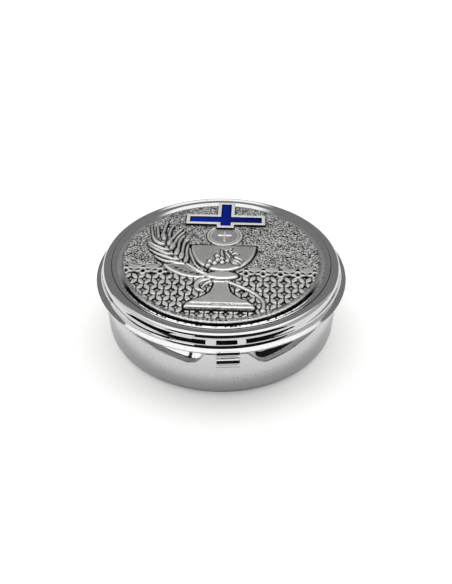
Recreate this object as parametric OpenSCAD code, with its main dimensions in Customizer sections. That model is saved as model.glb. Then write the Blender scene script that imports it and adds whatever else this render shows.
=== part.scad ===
// Viaticum box: a round hinged pyx of plated sheet with a gilt inside.
// A cast relief disc with an applied enamel cross covers the lid.
// Millimetres, +Z up. The origin is the centre of the flat foot, the thumb tab faces -Y.

/* [Bowl] */
// Outside diameter of the bowl at its mouth
body_d = 56.7; // [50:0.1:70]
// Height of the bowl from the foot to its shoulder
body_h = 13.3; // [11:0.1:20]
// Lean of the bowl's wall, in degrees
wall_taper = 3.6; // [1:0.1:6]
// Radius of the bend between wall and foot
foot_r = 2.6; // [1.5:0.1:4]
// Thickness of the bowl's sheet
sheet_t = 0.8; // [0.6:0.05:1]

/* [Finger scoops] */
// Depth of the scoops into the wall, towards the axis
scoop_depth = 1.9; // [1.2:0.05:2]
// Drop of the scoops' lowest point below the shoulder
scoop_drop = 3.7; // [2.5:0.1:4.5]
// Angle from the front to the scoop's inner end, in degrees
scoop_in = 9.3; // [7:0.1:13]
// Angle from the front to the scoop's lowest point, in degrees
scoop_low = 18; // [16:0.5:22]
// Angle from the front to the scoop's outer end, in degrees
scoop_out = 58; // [44:1:62]
// Radius of the round at the lowest point
scoop_round = 2; // [0.8:0.1:2.6]

/* [Snap] */
// Radius of the pressed pip that the thumb tab rides over
pip_r = 0.5; // [0.4:0.02:0.5]
// Height of the pip above the wall
pip_proud = 0.25; // [0.2:0.02:0.28]

/* [Gilt liner] */
// Thickness of the liner's sheet
liner_t = 0.5; // [0.3:0.05:0.8]
// Height of the liner's collar above the shoulder
collar_h = 2; // [1:0.1:2.6]
// Clearance between liner and bowl
liner_gap = 0.05; // [0.02:0.01:0.1]

/* [Lid] */
// Reach of the lid's lip past the bowl's mouth
lip_over = 1.65; // [1.3:0.05:2]
// Height of the lip's edge above the lid's seat
lip_lift = 1.45; // [1.2:0.05:1.6]
// Slope of the lip, in degrees
lip_slope = 20; // [10:1:30]
// Thickness of the lip's round edge
lip_t = 0.3; // [0.2:0.02:0.4]
// Radius of the hollow between the side band and the lip
flare_r = 1.15; // [0.9:0.05:1.3]
// Reach of the lid's upper tier past the bowl's mouth
tier_over = 0.15; // [-0.1:0.05:0.3]
// Height of the lid from its seat to the polished ring
lid_h = 5.15; // [4.6:0.05:8]
// Radius of the ring's outer edge
edge_r = 1.1; // [0.5:0.05:1.2]
// Thickness of the lid's top
lid_top_t = 0.8; // [0.5:0.05:1.2]
// Thickness of the lid's side wall
lid_wall_t = 1.1; // [0.9:0.05:1.4]
// Thickness of the turned-in flange that sits on the shoulder
flange_t = 0.7; // [0.5:0.05:0.9]
// Height of the seam between bowl and lid
seam_gap = 0.15; // [0.1:0.01:0.3]
// Clearance between the liner's collar and the flange
collar_clear = 0.35; // [0.3:0.01:0.6]
// Thickness of the gilt pan inside the lid
pan_t = 0.4; // [0.3:0.05:0.6]
// Height of the raised seat that the relief disc lies on
seat_h = 0.15; // [0.1:0.01:0.3]
// Width of the seat that shows round the relief disc
seat_w = 2.1; // [1.4:0.05:2.4]

/* [Relief disc] */
// Width of the polished ring from the disc to the lid's edge
ring_w = 4.5; // [4:0.05:6]
// Thickness of the relief disc's ground
plaque_t = 0.6; // [0.5:0.05:1.2]
// Spread of the disc's sloping side down to its seat
plaque_draft = 0.3; // [0.1:0.05:0.4]
// Height of the chalice above the ground
relief_h = 0.38; // [0.2:0.02:0.45]
// Width of the plain rim round the ornament
rim_w = 0.7; // [0.4:0.05:1]
// Turn of the disc as it was set on the lid, in degrees
plaque_turn = -4.7; // [-8:0.1:8]
// Distance that the disc was set forward of the lid's centre
disc_shift = 0.85; // [0:0.05:1]
// Sideways place of the ornament on the disc
ornament_shift = 0.45; // [-0.6:0.05:0.6]

/* [Enamel cross] */
// Length of the cross's bar
cross_bar = 19.9; // [14:0.1:20.5]
// Length of the cross's upright
cross_upright = 11.7; // [9:0.1:12]
// Distance from the upright's top to the disc's edge
cross_margin = -0.25; // [-0.3:0.05:0.8]
// Height of the bar's middle above the upright's foot
cross_bar_at = 3.7; // [3:0.1:5]
// Width of the arms over the frame
cross_w = 4.3; // [3.4:0.1:4.6]
// Width of the frame round the enamel
cross_edge = 0.9; // [0.5:0.05:1.1]
// Height of the frame above the disc's ground
cross_h = 0.65; // [0.5:0.05:1]
// Depth of the enamel below the frame's top
enamel_sink = 0.15; // [0.05:0.05:0.3]

/* [Hinge] */
// Length of the hinge along its pin
hinge_w = 8.2; // [6:0.1:9]
// Diameter of the hinge pin
pin_d = 1.1; // [0.8:0.05:1.3]
// Diameter of the knuckles
knuckle_d = 2.2; // [2:0.05:2.5]
// Running clearance round the pin
pin_clear = 0.04; // [0.02:0.01:0.08]
// Gap between neighbouring knuckles
knuckle_gap = 0.2; // [0.15:0.05:0.4]
// Clearance between a knuckle and the part that it turns past
knuckle_clear = 0.25; // [0.2:0.05:0.35]
// Thickness of the hinge leaves
leaf_t = 0.6; // [0.5:0.05:0.75]
// Height of the bowl's leaf
leaf_h = 3; // [2.4:0.1:4]
// Depth of the flat that the bowl's leaf is soldered to
leaf_flat = 0.3; // [0.25:0.05:0.4]
// Diameter of the pin's peened heads
pin_head_d = 1.6; // [1.5:0.05:1.8]
// Thickness of the pin's peened heads
pin_head_t = 0.3; // [0.2:0.05:0.5]

/* [Thumb tab] */
// Width of the thumb tab
tab_w = 5.2; // [2.4:0.1:7]
// Height of the thumb tab below the lid's seat
tab_h = 2.4; // [1.6:0.05:2.8]
// Thickness of the tab's strip
tab_t = 0.6; // [0.4:0.05:0.7]
// Radius of the tab's round thumb rest
tab_roll_r = 1.25; // [1:0.01:1.4]
// Clearance between the tab and the bowl's wall
tab_clear = 0.42; // [0.4:0.02:0.6]
// Angle from the front to the tab as it was soldered on, in degrees
tab_turn = 0.8; // [-5:0.1:5]

/* [Hidden] */
$fn = 96;
plated = "silver";
gilt = "goldenrod";
pewter = "slategray";
enamel_blue = "mediumblue";
// Overlap where two shapes of one solid join, and reach of a cut past a face
weld = 0.1;
past = 20;

// Radii and levels of the bowl and its liner
body_r = body_d / 2;
scoop_r = body_r - scoop_depth;
bore_r = scoop_r - sheet_t + liner_gap;
liner_r = bore_r - liner_gap;
liner_top = body_h + collar_h;

// Radii and levels of the lid
lid_z = body_h + seam_gap;
lip_r = body_r + lip_over;
lip_z = lid_z + lip_lift;
tier_r = body_r + tier_over;
ring_z = lid_z + lid_h;
seat_z = ring_z + seat_h;
lid_in_r = tier_r - lid_wall_t;
flange_in_r = liner_r + collar_clear;
ground_z = seat_z + plaque_t;
plaque_r = tier_r - ring_w;
seat_r = plaque_r + seat_w;
cross_foot = plaque_r - disc_shift - cross_margin - cross_upright;

// Lip and hollow of the lid: the middle of the lip's round edge, its top, and the hollow's centre
lip_up = [sin(lip_slope), cos(lip_slope)];
lip_end = [lip_r - lip_t / 2, lip_z];
lip_top = lip_end + lip_t / 2 * lip_up;
flare_x = tier_r + flare_r;
flare_foot = flare_x - flare_r * lip_up[0];
flare_z = lip_top[1] + (lip_top[0] - flare_foot) * tan(lip_slope) + flare_r * lip_up[1];
flare_steps = 10;

// Hinge axis and the places along it
knuckle_r = knuckle_d / 2;
flat_y = body_r - leaf_flat;
axis_y = flat_y + knuckle_clear + knuckle_r;
axis_z = (body_h + lid_z) / 2;
mid_knuckle = (hinge_w - 2 * knuckle_gap) / 3;
strap_y = flat_y - knuckle_clear / 2;
strap_top = ring_z - edge_r - lid_top_t / 2;

// Wall radius of the bowl at a level below its shoulder
function wall_r(z) = body_r - (body_h - z) * tan(wall_taper);

// Thumb tab: its back face, top and bottom, and how far its rest's middle lies above the bottom and before
// the strip's front, as shares of the rest's radius
tab_back = body_r + tab_clear;
tab_top = lip_z - lip_t;
tab_low = lid_z - tab_h;
rest_up = 0.95;
rest_out = 0.25;

// Points of a quadratic curve, and of a tapered stroke that follows it
function curve(a, b, c, t) = (1 - t) * (1 - t) * a + 2 * t * (1 - t) * b + t * t * c;
function along(a, b, c, t) = 2 * (1 - t) * (b - a) + 2 * t * (c - b);
function left_of(v) = [-v[1], v[0]] / norm(v);
function stroke(a, b, c, w, steps, blunt) = concat(
    [for (i = [0:steps]) let (t = i / steps)
        curve(a, b, c, t) + left_of(along(a, b, c, t)) * w / 2 * swell(t, blunt)],
    [for (i = [steps:-1:0]) let (t = i / steps)
        curve(a, b, c, t) - left_of(along(a, b, c, t)) * w / 2 * swell(t, blunt)]);
// Width along a stroke: full at its root, narrowing to a share of it at its tip
function swell(t, blunt) = blunt + (1 - blunt) * sqrt(max(0, 1 - t * t));
// Place on a circle, as an angle from its lowest point, where the line from an outside point touches it
function touch(p, c, r, side) =
    let (d = p - c)
    atan2(d[0], -d[1]) + side * acos(r / norm(d));

// Section of the bowl drawn in by a wall thickness, up to a level
module bowl_section(inset, top) {
    n = [cos(wall_taper), -sin(wall_taper)];
    bend_x = body_r + (sin(wall_taper) * (foot_r - body_h) - foot_r) / cos(wall_taper);
    bend = [bend_x, foot_r];
    r = foot_r - inset;
    translate(bend)
        circle(r);
    polygon([[0, inset], [bend_x, inset], bend + r * n, [wall_r(top) - inset / cos(wall_taper), top], [0, top]]);
}

// Outline of a scoop on the wall, seen along its own radius and grown by an amount.
// Its straight sides run on above the shoulder by a share of their length.
scoop_mid = (scoop_in + scoop_out) / 2;
round_steps = 8;
run_on = 0.2;
function across(angle) = body_r * sin(angle - scoop_mid);
module scoop_outline(grow) {
    c = [across(scoop_low), body_h - scoop_drop + scoop_round];
    r = scoop_round + grow;
    a = [across(scoop_in) - grow, body_h];
    b = [across(scoop_out) + grow, body_h];
    from = touch(a, c, r, 1);
    to = touch(b, c, r, -1);
    round = [for (i = [0:round_steps]) let (t = from + (to - from) * i / round_steps) c + r * [sin(t), -cos(t)]];
    polygon(concat([a + run_on * (a - round[0])], round, [b + run_on * (b - round[round_steps])]));
}

// Prism through the wall with a scoop's outline
module scoop_prism(grow) {
    rotate(scoop_mid)
        rotate([90, 0, 0])
            linear_extrude(body_r + past)
                scoop_outline(grow);
}

// Pair of like shapes on both sides of the front
module both_sides() {
    children();
    mirror([1, 0, 0])
        children();
}

// Bowl: one pressed shell with a turned-in shoulder, two finger scoops and the snap pip
module body_bowl() color(plated) {
    difference() {
        union() {
            rotate_extrude()
                difference() {
                    bowl_section(0, body_h);
                    bowl_section(sheet_t, body_h - sheet_t);
                    translate([0, sheet_t])
                        square([bore_r, body_h]);
                }
            both_sides()
                intersection() {
                    scoop_prism(sheet_t);
                    difference() {
                        cylinder(r = body_r - sheet_t / 2, h = body_h);
                        translate([0, 0, -weld])
                            cylinder(r = bore_r, h = body_h + 2 * weld);
                    }
                }
        }
        both_sides()
            difference() {
                scoop_prism(0);
                cylinder(r = scoop_r, h = body_h + past);
            }
        translate([-hinge_w / 2, flat_y, body_h - leaf_h])
            cube([hinge_w, past, past]);
    }
    pip_z = (tab_low + body_h) / 2;
    rotate(tab_turn)
        translate([0, pip_r - pip_proud - wall_r(pip_z), pip_z])
            sphere(r = pip_r);
}

// Section of the liner drawn in by its thickness, bent like the bowl's foot
module liner_section(inset) {
    bend = [liner_r - foot_r, sheet_t + foot_r];
    r = foot_r - inset;
    translate(bend)
        circle(r);
    polygon([[0, sheet_t + inset], [bend[0], sheet_t + inset], [liner_r - inset, bend[1]],
             [liner_r - inset, liner_top + inset], [0, liner_top + inset]]);
}

// Liner: a gilt cup in the bowl whose collar guides the lid
module body_liner() color(gilt)
    rotate_extrude()
        difference() {
            liner_section(0);
            liner_section(liner_t);
        }

// Cylinder along the hinge axis, centred on the middle plane
module on_axis(r, length)
    translate([-length / 2, axis_y, axis_z])
        rotate([0, 90, 0])
            cylinder(r = r, h = length);

// Bowl's leaf: a plate on the flat with the two outer knuckles
module body_hinge_leaf() color(plated)
    difference() {
        union() {
            translate([-hinge_w / 2, flat_y, body_h - leaf_h])
                cube([hinge_w, leaf_t, leaf_h]);
            translate([-hinge_w / 2, flat_y, axis_z - knuckle_r])
                cube([hinge_w, axis_y - flat_y, knuckle_r]);
            on_axis(knuckle_r, hinge_w);
        }
        on_axis(pin_d / 2 + pin_clear, hinge_w + past);
        on_axis(knuckle_r + knuckle_clear, mid_knuckle + 2 * knuckle_gap);
    }

// Hinge pin with peened heads
module hinge_pin() color(plated) {
    on_axis(pin_d / 2, hinge_w + pin_head_t);
    for (side = [0, 1])
        mirror([side, 0, 0])
            translate([hinge_w / 2 + pin_clear, axis_y, axis_z])
                rotate([0, 90, 0])
                    cylinder(r1 = pin_head_d / 2, r2 = pin_d / 2, h = pin_head_t);
}

// Section of the lid: seat, ring, round edge, side band, hollow, lip and seat flange
module lid_section() {
    hollow = [for (i = [0:flare_steps]) let (a = (90 - lip_slope) * i / flare_steps)
        [flare_x, flare_z] - flare_r * [cos(a), sin(a)]];
    difference() {
        union() {
            translate([tier_r - edge_r, ring_z - edge_r])
                circle(edge_r);
            polygon(concat([[0, lid_z], [body_r, lid_z], lip_end - [0, lip_t / 2], lip_end, lip_top],
                           [for (i = [flare_steps:-1:0]) hollow[i]],
                           [[tier_r, ring_z - edge_r], [tier_r - edge_r, ring_z],
                            [seat_r, ring_z], [seat_r, seat_z], [0, seat_z]]));
            translate(lip_end)
                circle(lip_t / 2);
        }
        translate([0, lid_z - weld])
            square([flange_in_r, flange_t + 2 * weld]);
        translate([0, lid_z + flange_t])
            square([lid_in_r, lid_h - flange_t - lid_top_t]);
    }
}

// Strip of the thumb tab where it enters the lip
module tab_strip()
    rotate(tab_turn)
        translate([-tab_w / 2, -tab_back - tab_t, tab_low])
            cube([tab_w, tab_t, tab_top - tab_low]);

// Lid: one pressed shell, notched for the hinge and slotted for the tab
module lid_rim() color(plated)
    difference() {
        rotate_extrude()
            lid_section();
        on_axis(knuckle_r + knuckle_clear, hinge_w + 2 * knuckle_gap);
        translate([-hinge_w / 2 - knuckle_gap, axis_y - knuckle_clear, lid_z - weld])
            cube([hinge_w + 2 * knuckle_gap, past, flare_z - lid_z + weld]);
        translate([-mid_knuckle / 2, strap_y, lid_z - weld])
            cube([mid_knuckle, past, strap_top - lid_z + weld]);
        tab_strip();
    }

// Gilt pan that lines the lid and stands on its flange
module lid_pan() color(gilt)
    translate([0, 0, lid_z + flange_t])
        rotate_extrude()
            difference() {
                square([lid_in_r - liner_gap, lid_h - flange_t - lid_top_t]);
                square([lid_in_r - liner_gap - pan_t, lid_h - flange_t - lid_top_t - pan_t]);
            }

// Lid's leaf: a strap let into the rim with the middle knuckle
module lid_hinge_leaf() color(plated)
    difference() {
        union() {
            translate([-mid_knuckle / 2, strap_y, axis_z])
                cube([mid_knuckle, axis_y - strap_y, knuckle_r]);
            translate([-mid_knuckle / 2, strap_y, lid_z])
                cube([mid_knuckle, leaf_t, strap_top - lid_z]);
            on_axis(knuckle_r, mid_knuckle);
        }
        on_axis(pin_d / 2 + pin_clear, hinge_w + past);
        translate([-past, -past, axis_z - past])
            cube([2 * past, past + flat_y + knuckle_clear, past + lid_z - axis_z]);
    }

// Thumb tab: a strip with a round thumb rest at its foot
module thumb_tab() color(plated) {
    tab_strip();
    rotate(tab_turn)
        translate([-tab_w / 2, 0, 0])
            rotate([0, 90, 0])
                linear_extrude(tab_w)
                    intersection() {
                        translate([-tab_low - tab_roll_r * rest_up, -tab_back - tab_t - tab_roll_r * rest_out])
                            circle(tab_roll_r);
                        translate([-tab_low - past, -tab_back - past])
                            square([past, past - tab_t / 2]);
                    }
}

// Places of the relief's figures, drawn for a disc of this radius and fitted to the real one
drawn_r = 24;
fit = plaque_r / drawn_r;
arc_step = 10;
stroke_steps = 8;

// Chalice: half width and level, or middle and half size, of each of its parts
cup_rim = [7.75, 4.4];
cup_depth = 10.3;
knop = [0.1, -7.7];
knop_size = [3.75, 1.6];
collar = [2.7, -9.7];
collar_t = 0.5;
stem_top = [1.75, -9.9];
stem_foot = [7.4, -18.7];
stem_flare = 2.5;
foot_bar = [7.95, -19.4];
foot_bar_t = 1.3;

// Host over the cup
host_r = 4.4;
host_at = [0, 8.9];
host_edge = 0.5;

// Lace edge and the gap that the chalice and ribbon leave in it
lace_v = -6.55;
lace_pitch = 4.03;
lace_phase = 1.6;
lace_ring = 0.95;
lace_hole = 0.5;
lace_band = 1.2;
lace_tuck = 0.7;
lace_rings = 6;
lace_gap = [-13.4, 4.4];

// Lattice, and the room that the stem and ribbon take in it: at the lace, and its growth down to the foot
star_at = [1.58, -9.66];
star_pitch = [3.22, 4.03];
petal_len = 2.45;
petal_w = 1.05;
lattice_rows = 8;
stem_room = 2.4;
foot_room = 6.4;
room_drop = 13;

// Grapes: the first, the steps along a row and to the next row, and the leaves with their turn
grape_r = 0.62;
grape_sink = 0.35;
grape_rows = 3;
grape_at = [-3.4, -3.9];
grape_step = [1.6, 0.65];
grape_rise = [0.6, 1.5];
grape_fn = 24;
vine_leaf = [3.2, 1.5];
vine_leaves = [[1.5, 1.3, 60], [3.1, 0.6, 15], [3.9, -2.1, -35]];

// Ear of wheat: its stalk, and the place, lean and bend of its awns and grains along it
ear_root = [-3.6, -7.2];
ear_bend = [-9.6, -4.4];
ear_top = [-15, 6.6];
ear_stalk = 0.8;
ear_parts = 6;
awn_len = 7.6;
awn_w = 0.75;
awn_from = 0.5;
awn_next = 0.095;
awn_lean = 157;
awn_turn = 1.9;
awn_sag = [-0.9, -0.9];
awn_root = 1.3;
grain_len = 3.4;
grain_w = 1.15;
grain_from = 0.53;
grain_next = 0.09;
grain_off = [0.5, 0.4];
grain_lean = 84;
grain_turn = 3.2;
grain_top = 24;
grain_sag = [-0.5, 0.3];

// Ribbon: root, bend and end of its lobe, curl and tail, and their widths
lobe = [[-3.5, -8.1], [-9.5, -10.2], [-13.7, -3.8]];
lobe_w = 1.1;
curl = [[-3.1, -9.1], [-8.3, -10.6], [-3.6, -13.9]];
curl_w = 1.3;
tail = [[2, -10.2], [10.7, -14], [9.7, -20.4]];
tail_w = 0.75;

// Width at the tip of the strokes, as a share of the root's
sharp_tip = 0.15;
round_tip = 0.35;
blunt_tip = 0.7;

// Heights of the figures, as shares of the chalice's
knop_rise = 1.15;
collar_rise = 0.8;
stem_rise = 0.9;
foot_rise = 1.3;
host_rise = 0.5;
edge_rise = 0.9;
leaf_rise = 1.4;
stalk_rise = 0.7;
awn_rise = 0.8;
grain_rise = 1.1;
ribbon_rise = 0.9;
lace_rise = 0.5;
band_rise = 0.3;
petal_rise = 0.6;

// Lens: two equal arcs that meet in points, lying along X
module lens(length, width) {
    r = (length * length + width * width) / (4 * width);
    intersection() {
        translate([0, r - width / 2])
            circle(r);
        translate([0, width / 2 - r])
            circle(r);
    }
}

// Outline raised above the disc's ground
module raised(h)
    translate([0, 0, ground_z - weld])
        linear_extrude(h + weld)
            scale(fit * [1, 1, 1])
                children();

// Chalice: cup, knop, collar, flared stem and foot bar
module chalice() {
    raised(relief_h)
        polygon([for (a = [180:arc_step:360]) [cup_rim[0] * cos(a), cup_rim[1] + cup_depth * sin(a)]]);
    raised(relief_h * knop_rise)
        polygon([for (a = [arc_step / 2:arc_step:360]) knop + [knop_size[0] * cos(a), knop_size[1] * sin(a)]]);
    raised(relief_h * collar_rise)
        translate([-collar[0], collar[1] - collar_t / 2])
            square([2 * collar[0], collar_t]);
    flare = [for (i = [0:stroke_steps]) let (t = i / stroke_steps)
        [stem_top[0] + (stem_foot[0] - stem_top[0]) * pow(t, stem_flare),
         stem_top[1] + (stem_foot[1] - stem_top[1]) * t]];
    raised(relief_h * stem_rise)
        polygon(concat(flare, [for (i = [stroke_steps:-1:0]) [-flare[i][0], flare[i][1]]]));
    raised(relief_h * foot_rise)
        translate([-foot_bar[0], foot_bar[1] - foot_bar_t / 2])
            square([2 * foot_bar[0], foot_bar_t]);
}

// Host above the cup: a disc with a raised edge and a plain cross
module host()
    difference() {
        union() {
            raised(relief_h * host_rise)
                translate(host_at)
                    circle(host_r);
            raised(relief_h * edge_rise)
                translate(host_at)
                    difference() {
                        circle(host_r);
                        circle(host_r - host_edge);
                    }
            for (a = [0, 90])
                raised(relief_h * edge_rise)
                    translate(host_at)
                        rotate(a)
                            square([host_r, host_edge], center = true);
        }
        translate([-past / 2, fit * cup_rim[1] - past, ground_z])
            cube([past, past, past]);
    }

// Bunch of grapes on the cup with its leaves
module grapes() {
    for (row = [0:grape_rows - 1])
        for (i = [0:grape_rows - row])
            translate(fit * (grape_at + i * grape_step + row * grape_rise))
                translate([0, 0, ground_z + relief_h - grape_sink])
                    sphere(r = fit * grape_r, $fn = grape_fn);
    for (leaf = vine_leaves)
        raised(relief_h * leaf_rise)
            translate([leaf[0], leaf[1]])
                rotate(leaf[2])
                    lens(vine_leaf[0], vine_leaf[1]);
}

// Ear of wheat: a bent stalk, awns to the left, grains with awns to the right
module wheat_ear() {
    raised(relief_h * stalk_rise)
        polygon(stroke(ear_root, ear_bend, ear_top, ear_stalk, stroke_steps, blunt_tip));
    for (i = [0:ear_parts - 1]) {
        base = curve(ear_root, ear_bend, ear_top, awn_from + awn_next * i);
        lean = awn_lean - awn_turn * i * i;
        tip = base + awn_len * [cos(lean), sin(lean)];
        raised(relief_h * awn_rise)
            polygon(stroke(base, (base + tip) / 2 + awn_sag, tip, awn_w * awn_root, stroke_steps, sharp_tip));
    }
    for (i = [0:ear_parts - 1]) {
        base = curve(ear_root, ear_bend, ear_top, grain_from + grain_next * i) + grain_off;
        lean = grain_lean - grain_turn * i + (i == ear_parts - 1 ? grain_top : 0);
        way = [cos(lean), sin(lean)];
        tip = base + awn_len * way;
        raised(relief_h * awn_rise)
            polygon(stroke(base + way, (base + tip) / 2 + grain_sag, tip, awn_w, stroke_steps, sharp_tip));
        raised(relief_h * grain_rise)
            translate(base + way * grain_len / 2)
                rotate(lean)
                    lens(grain_len, grain_w);
    }
}

// Ribbon: a lobe under the ear, a curl beside the stem and a tail to the right
module ribbon() {
    raised(relief_h * ribbon_rise) {
        polygon(stroke(lobe[0], lobe[1], lobe[2], lobe_w, stroke_steps, round_tip));
        polygon(stroke(curl[0], curl[1], curl[2], curl_w, stroke_steps, round_tip));
        polygon(stroke(tail[0], tail[1], tail[2], tail_w, stroke_steps, blunt_tip));
    }
}

// Lace edge: a plain band over a row of rings, left and right of the chalice
module lace() {
    for (k = [-lace_rings:lace_rings]) {
        u = lace_phase + lace_pitch * k;
        if (abs(u + ornament_shift) < drawn_r - lace_ring && (u < lace_gap[0] || u > lace_gap[1]))
            raised(relief_h * lace_rise)
                translate([u, lace_v])
                    difference() {
                        circle(lace_ring);
                        circle(lace_hole);
                    }
    }
    raised(relief_h * band_rise)
        intersection() {
            translate([-ornament_shift, 0])
                circle(drawn_r - rim_w);
            difference() {
                translate([-drawn_r, lace_v + lace_ring * lace_tuck])
                    square([2 * drawn_r, lace_band]);
                translate([lace_gap[0], lace_v])
                    square([lace_gap[1] - lace_gap[0], drawn_r]);
            }
        }
}

// Half the room that the chalice and ribbon take at a level below the lace
function keep_out(v) =
    v > foot_bar[1] - foot_bar_t ? stem_room + foot_room * pow((lace_v - v) / room_drop, 2) : 0;

// Lattice of lens-shaped petals round four-pointed stars
module lattice() {
    lean = atan2(star_pitch[1] / 2, star_pitch[0] / 2);
    for (row = [0:lattice_rows - 1])
        for (k = [-lattice_rows:lattice_rows])
            for (side = [-1, 1]) {
                u = star_at[0] + star_pitch[0] * (k + (row % 2) / 2) + side * star_pitch[0] / 4;
                v = star_at[1] + star_pitch[1] / 4 - star_pitch[1] / 2 * row;
                if (norm([u + ornament_shift, v]) < drawn_r - rim_w - petal_len / 4 && abs(u) > keep_out(v))
                    raised(relief_h * petal_rise)
                        translate([u, v])
                            rotate(-side * lean)
                                lens(petal_len, petal_w);
            }
}

// Outline of the cross drawn in by an amount
module cross_outline(inset) {
    w = cross_w - 2 * inset;
    translate([-w / 2, cross_foot + inset])
        square([w, cross_upright - 2 * inset]);
    translate([-cross_bar / 2 + inset, cross_foot + cross_bar_at - w / 2])
        square([cross_bar - 2 * inset, w]);
}

// Ornament set on the disc as the disc was turned
module on_disc()
    rotate(plaque_turn)
        translate([ornament_shift, 0, 0])
            children();

// Relief disc: one casting with its figures and a seat for the cross
module relief_disc() color(pewter)
    difference() {
        union() {
            rotate(plaque_turn)
                translate([0, -disc_shift, seat_z])
                    cylinder(r1 = plaque_r + plaque_draft, r2 = plaque_r, h = plaque_t);
            on_disc() {
                chalice();
                host();
                grapes();
                wheat_ear();
                ribbon();
                lace();
                lattice();
            }
        }
        on_disc()
            translate([0, 0, ground_z])
                linear_extrude(past)
                    cross_outline(0);
    }

// Cross frame soldered on the disc
module cross_frame() color(plated)
    on_disc()
        translate([0, 0, ground_z])
            linear_extrude(cross_h)
                difference() {
                    cross_outline(0);
                    cross_outline(cross_edge);
                }

// Blue enamel that fills the frame
module cross_enamel() color(enamel_blue)
    on_disc()
        translate([0, 0, ground_z])
            linear_extrude(cross_h - enamel_sink)
                cross_outline(cross_edge);

body_bowl();
body_liner();
body_hinge_leaf();
hinge_pin();
lid_rim();
lid_pan();
lid_hinge_leaf();
thumb_tab();
relief_disc();
cross_frame();
cross_enamel();
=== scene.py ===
import math

import bpy
import numpy as np
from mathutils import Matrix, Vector, noise


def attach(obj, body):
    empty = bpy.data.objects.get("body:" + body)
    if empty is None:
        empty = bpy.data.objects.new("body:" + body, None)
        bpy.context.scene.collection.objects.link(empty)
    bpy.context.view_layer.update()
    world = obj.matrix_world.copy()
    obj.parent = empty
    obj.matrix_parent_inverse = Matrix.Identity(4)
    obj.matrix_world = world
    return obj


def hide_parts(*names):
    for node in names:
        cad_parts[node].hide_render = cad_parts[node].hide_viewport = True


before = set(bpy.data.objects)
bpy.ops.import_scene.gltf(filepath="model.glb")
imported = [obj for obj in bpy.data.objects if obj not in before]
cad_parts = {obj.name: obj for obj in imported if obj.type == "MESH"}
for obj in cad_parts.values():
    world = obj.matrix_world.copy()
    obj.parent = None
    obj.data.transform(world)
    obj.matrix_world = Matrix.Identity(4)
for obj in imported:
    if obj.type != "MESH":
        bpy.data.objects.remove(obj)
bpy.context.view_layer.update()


# Bowl
# The lower half of the box: a shallow cup pressed from brass sheet, nickel plated and polished to a mirror.
# Two finger scoops are pressed into its shoulder beside the thumb tab, and a filed flat at the back
# takes the hinge. A small pip pressed out of the wall behind the tab holds the lid shut.
mm = 0.001
mouth_r, bowl_h, wall_lean = 28.35, 13.3, math.tan(math.radians(3.6))
bore_r, edge_round, foot_round, wall_low = 25.7, 0.3, 2.6, 3.0
wall_h = bowl_h - edge_round - wall_low
scoop_mid, scoop_low, scoop_out = 33.65, 17.4, 58
scoop_drop, scoop_turn, left_share = 3.7, (0.9, 1.9), 0.88
left_corner, right_corner, corner_end = (10.3, 2.2, -151.8), (7.45, 3.0, -139.0), -79.2
ledge_r, left_satin, right_satin_and_painted_light = 27.87, 0.75, 1.4
hinge_half, flat_y, leaf_low = 4.1, 28.05, 10.3
tab_turn, pip_z, pip_r, pip_proud = math.radians(0.8), 12.175, 0.43, 0.25


def arc(centre, radius, first, last, steps):
    """Points of an arc in the turning plane, with angles in degrees up from straight outwards."""
    turns = [math.radians(first + (last - first) * i / steps) for i in range(steps + 1)]
    return [(centre[0] + radius * math.cos(t), centre[1] + radius * math.sin(t)) for t in turns]


def rows(first, last, steps):
    """Points between two places of a section, both ends left out."""
    return [tuple(np.array(first) + (np.array(last) - np.array(first)) * i / steps) for i in range(1, steps)]


def start(name, primitive, **size):
    """A new primitive under a name, as the only object selected."""
    bpy.ops.object.select_all(action="DESELECT")
    primitive(**size)
    bpy.context.object.name = name
    return bpy.context.object


def loop(name, corners):
    """A closed line of corners, given in millimetres, as a new object."""
    piece = start(name, bpy.ops.mesh.primitive_circle_add, vertices=len(corners), radius=mm)
    for vertex, corner in zip(piece.data.vertices, corners):
        vertex.co = Vector(corner) * mm
    return piece


def edit(action="SELECT"):
    """Goes into edit mode, with all or nothing of the piece selected."""
    bpy.ops.object.mode_set(mode="EDIT")
    bpy.ops.mesh.select_all(action=action)


def leave_edit():
    """Goes back to object mode."""
    bpy.ops.object.mode_set(mode="OBJECT")


def closed():
    """Merges the seam and the poles of the piece just turned, and points its faces outwards."""
    edit()
    bpy.ops.mesh.remove_doubles(threshold=1e-6)
    bpy.ops.mesh.delete_loose()
    bpy.ops.mesh.select_all(action="SELECT")
    bpy.ops.mesh.normals_make_consistent(inside=False)
    leave_edit()


def turned(name, section, steps):
    """A closed section, as radius and height in millimetres, turned once round the upright axis."""
    piece = loop(name, [(0, -r, z) for r, z in section])
    bpy.ops.object.modifier_add(type="SCREW")
    lathe = piece.modifiers[0]
    lathe.steps = lathe.render_steps = steps
    bpy.ops.object.modifier_apply(modifier=lathe.name)
    closed()
    return piece


def places(piece):
    """Vertex places of a piece in millimetres."""
    co = np.empty(len(piece.data.vertices) * 3)
    piece.data.vertices.foreach_get("co", co)
    return co.reshape(-1, 3) / mm


def set_places(piece, co):
    """Moves the vertices of a piece to places in millimetres."""
    piece.data.vertices.foreach_set("co", (co * mm).ravel())
    piece.data.update()


def finish(piece, angle, *materials):
    """Smooth shading, apart from edges sharper than an angle in degrees, and the piece's materials."""
    bpy.ops.object.select_all(action="DESELECT")
    piece.select_set(True)
    bpy.context.view_layer.objects.active = piece
    bpy.ops.object.shade_smooth_by_angle(angle=math.radians(angle))
    for material in materials:
        piece.data.materials.append(material)


def wall_r(z):
    """Radius of the bowl's outside at a level."""
    return mouth_r - (bowl_h - z) * wall_lean


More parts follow.
